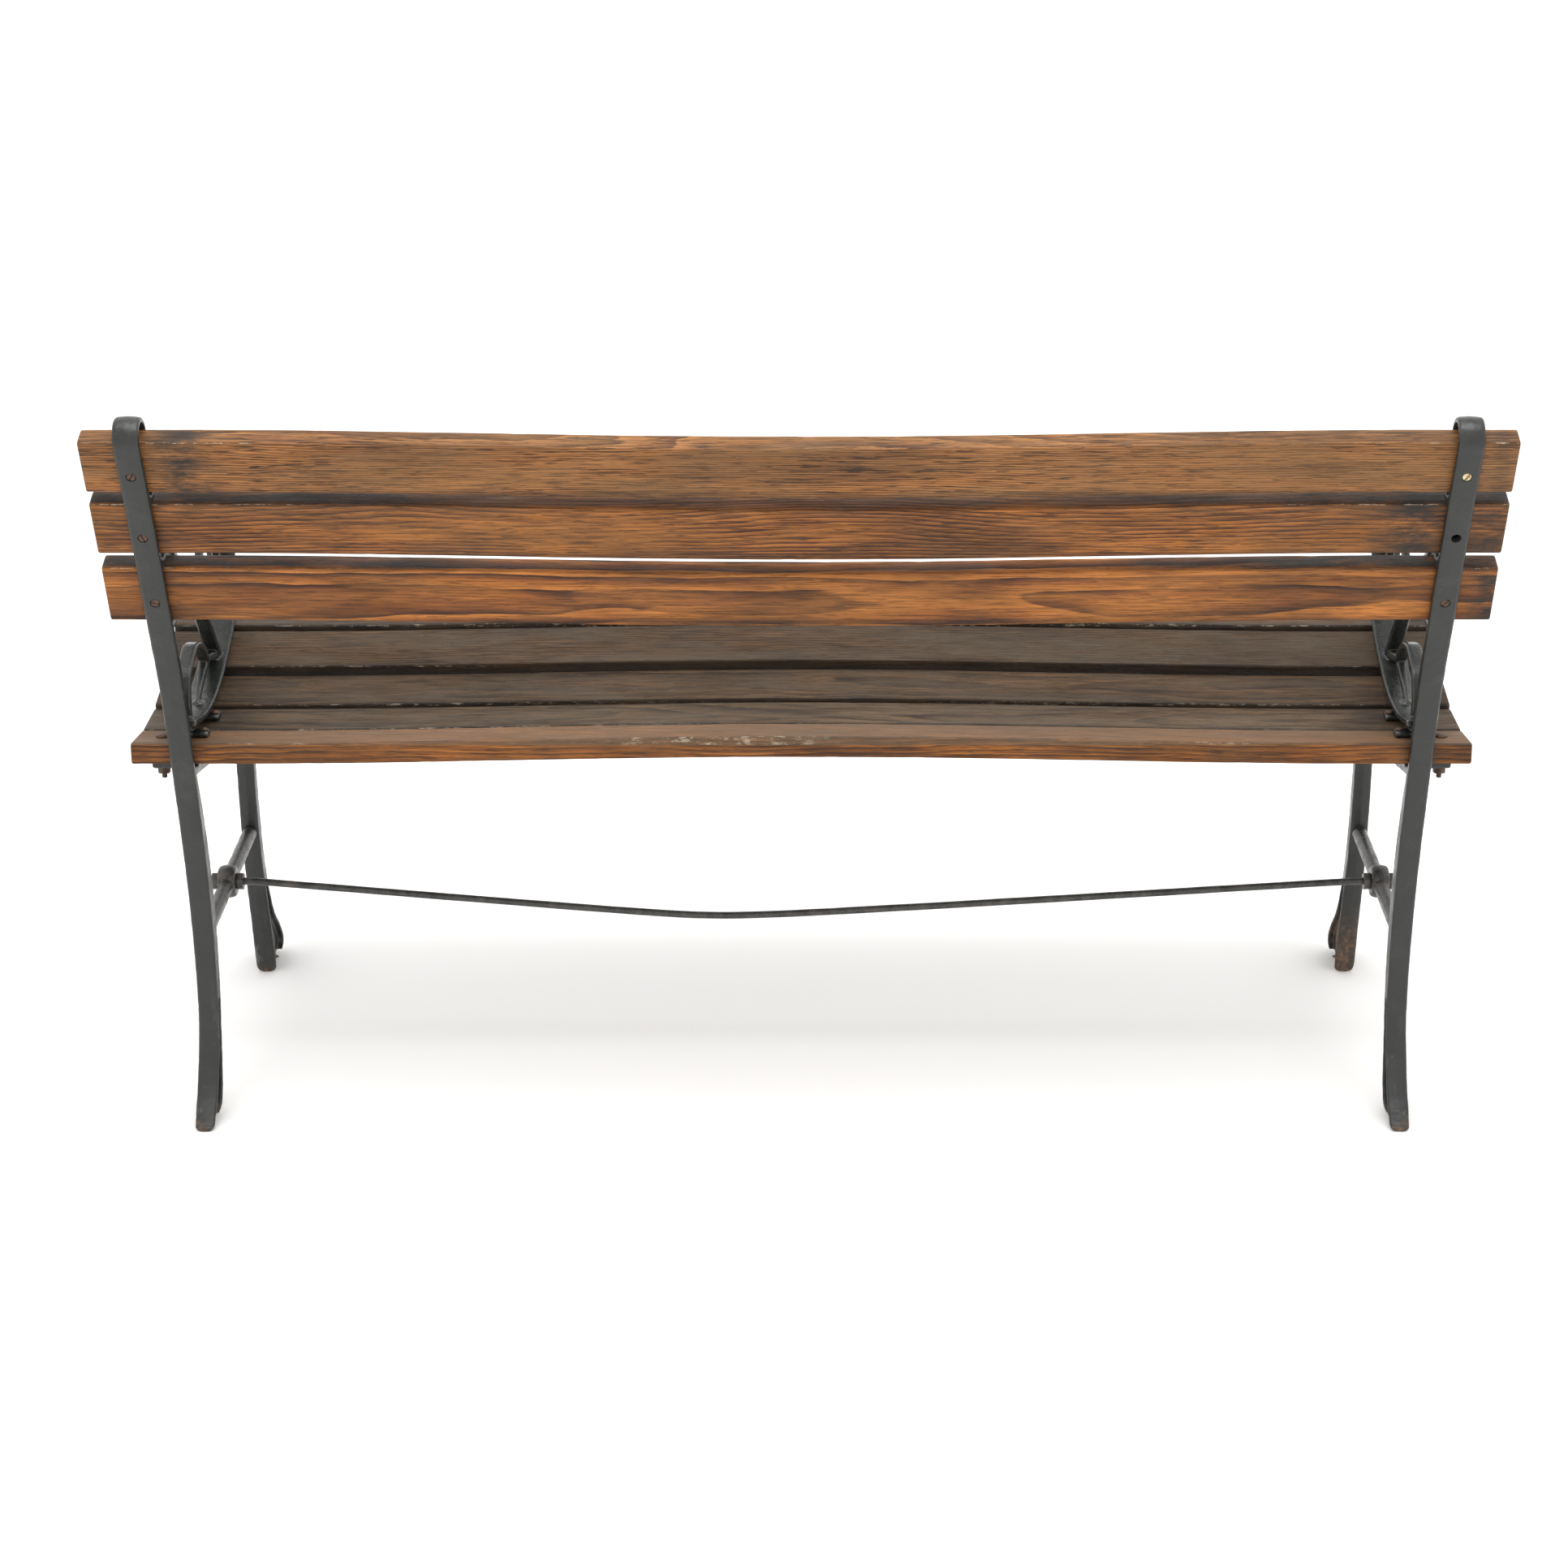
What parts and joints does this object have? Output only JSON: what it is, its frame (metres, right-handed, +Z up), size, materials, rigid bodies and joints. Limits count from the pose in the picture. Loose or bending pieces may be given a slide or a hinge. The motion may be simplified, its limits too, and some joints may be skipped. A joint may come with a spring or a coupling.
{
  "type": "slatted park bench",
  "caption": "Slatted timber park bench with a back, on cast-iron end frames with openwork arms and a cross tie rod.",
  "frame": {"origin": "on the floor, under the middle of the bench's bounding box", "axes": "+X along the bench towards the sitter's left, +Y towards the back, +Z up; the seat faces -Y"},
  "size_m": [1.419, 0.5183, 0.812],
  "materials": {
    "iron_frame": "old black paint, semi-gloss, chipped",
    "iron_worn": "worn black paint, partly rusty",
    "oak_back": "orange-brown varnished oak, aged",
    "oak_seat": "weathered oak",
    "bolt_steel": "rusty painted steel",
    "brass": "tarnished"
  },
  "bodies": {
    "root": {"end_frame_left": "iron_frame", "arm_left": "iron_frame", "side_stretcher_left": "iron_worn", "end_frame_right": "iron_frame", "arm_right": "iron_frame", "side_stretcher_right": "iron_worn", "seat_slat_1_rear": "oak_seat", "seat_slat_2": "oak_seat", "seat_slat_3": "oak_seat", "seat_slat_4": "oak_seat", "seat_slat_5": "oak_seat", "seat_slat_6_front": "oak_seat", "back_slat_top": "oak_back", "back_slat_middle": "oak_back", "back_slat_bottom": "oak_back", "seat_bolt_1_left": "bolt_steel", "seat_nut_1_left": "bolt_steel", "seat_bolt_2_left": "bolt_steel", "seat_nut_2_left": "bolt_steel", "seat_bolt_3_left": "bolt_steel", "seat_nut_3_left": "bolt_steel", "seat_bolt_4_left": "bolt_steel", "seat_nut_4_left": "bolt_steel", "seat_bolt_5_left": "bolt_steel", "seat_nut_5_left": "bolt_steel", "seat_bolt_6_left": "bolt_steel", "seat_nut_6_left": "bolt_steel", "seat_bolt_1_right": "bolt_steel", "seat_nut_1_right": "bolt_steel", "seat_bolt_2_right": "bolt_steel", "seat_nut_2_right": "bolt_steel", "seat_bolt_3_right": "bolt_steel", "seat_nut_3_right": "bolt_steel", "seat_bolt_4_right": "bolt_steel", "seat_nut_4_right": "bolt_steel", "seat_bolt_5_right": "bolt_steel", "seat_nut_5_right": "bolt_steel", "seat_bolt_6_right": "bolt_steel", "seat_nut_6_right": "bolt_steel", "back_screw_top_left": "bolt_steel", "back_screw_top_right": "brass", "back_screw_middle_left": "bolt_steel", "back_screw_bottom_left": "bolt_steel", "back_screw_bottom_right": "bolt_steel", "arm_screw_rear_left": "bolt_steel", "arm_screw_rear_right": "bolt_steel", "arm_screw_front_left": "bolt_steel", "arm_screw_front_right": "bolt_steel", "tie_rod": "iron_worn", "tie_rod_nut_inner_left": "iron_worn", "tie_rod_nut_inner_right": "iron_worn", "tie_rod_nut_outer_left": "iron_worn", "tie_rod_nut_outer_right": "iron_worn"}
  },
  "joints": []
}
